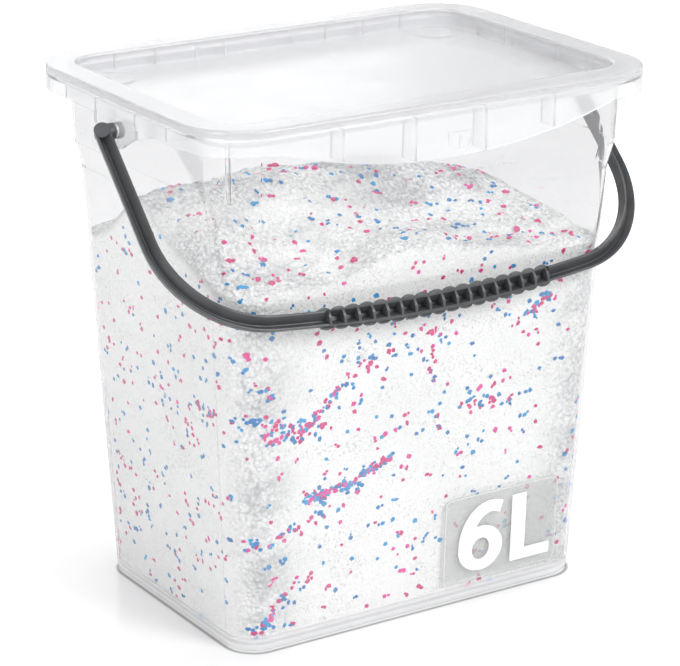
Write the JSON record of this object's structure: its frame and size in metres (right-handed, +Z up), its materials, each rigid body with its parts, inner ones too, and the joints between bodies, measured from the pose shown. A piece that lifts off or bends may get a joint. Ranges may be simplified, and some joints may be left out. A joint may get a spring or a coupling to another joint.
{
  "type": "detergent storage box",
  "caption": "Tapered rectangular clear plastic pail for washing powder with a push-fit recessed lid and a swinging ribbed carrying handle.",
  "frame": {"origin": "centre of the base on the floor plane", "axes": "+Z up, +X along the long side, the front wall with the label faces -Y, the handle hangs in front"},
  "size_m": [0.2528, 0.1685, 0.2427],
  "materials": {
    "tub": "clear injection-moulded polypropylene",
    "lid": "hazy natural polypropylene",
    "handle": "satin dark grey plastic",
    "washing_powder": "white granules with blue and pink speckles",
    "capacity_label": "translucent grey film"
  },
  "bodies": {
    "pail": {"tub": "tub", "washing_powder": "washing_powder", "capacity_label": "capacity_label"},
    "lid": {"lid": "lid"},
    "bail": {"handle": "handle"}
  },
  "joints": [
    {"name": "lid_lift", "type": "slide", "parent": "pail", "child": "lid", "axis": [0, 0, 1], "range_m": [0, 0.05]},
    {"name": "handle_swing", "type": "hinge", "parent": "pail", "child": "bail", "pos_m": [0, 0, 0.2271], "axis": [-1, 0, 0], "range_deg": [0, 265]}
  ]
}
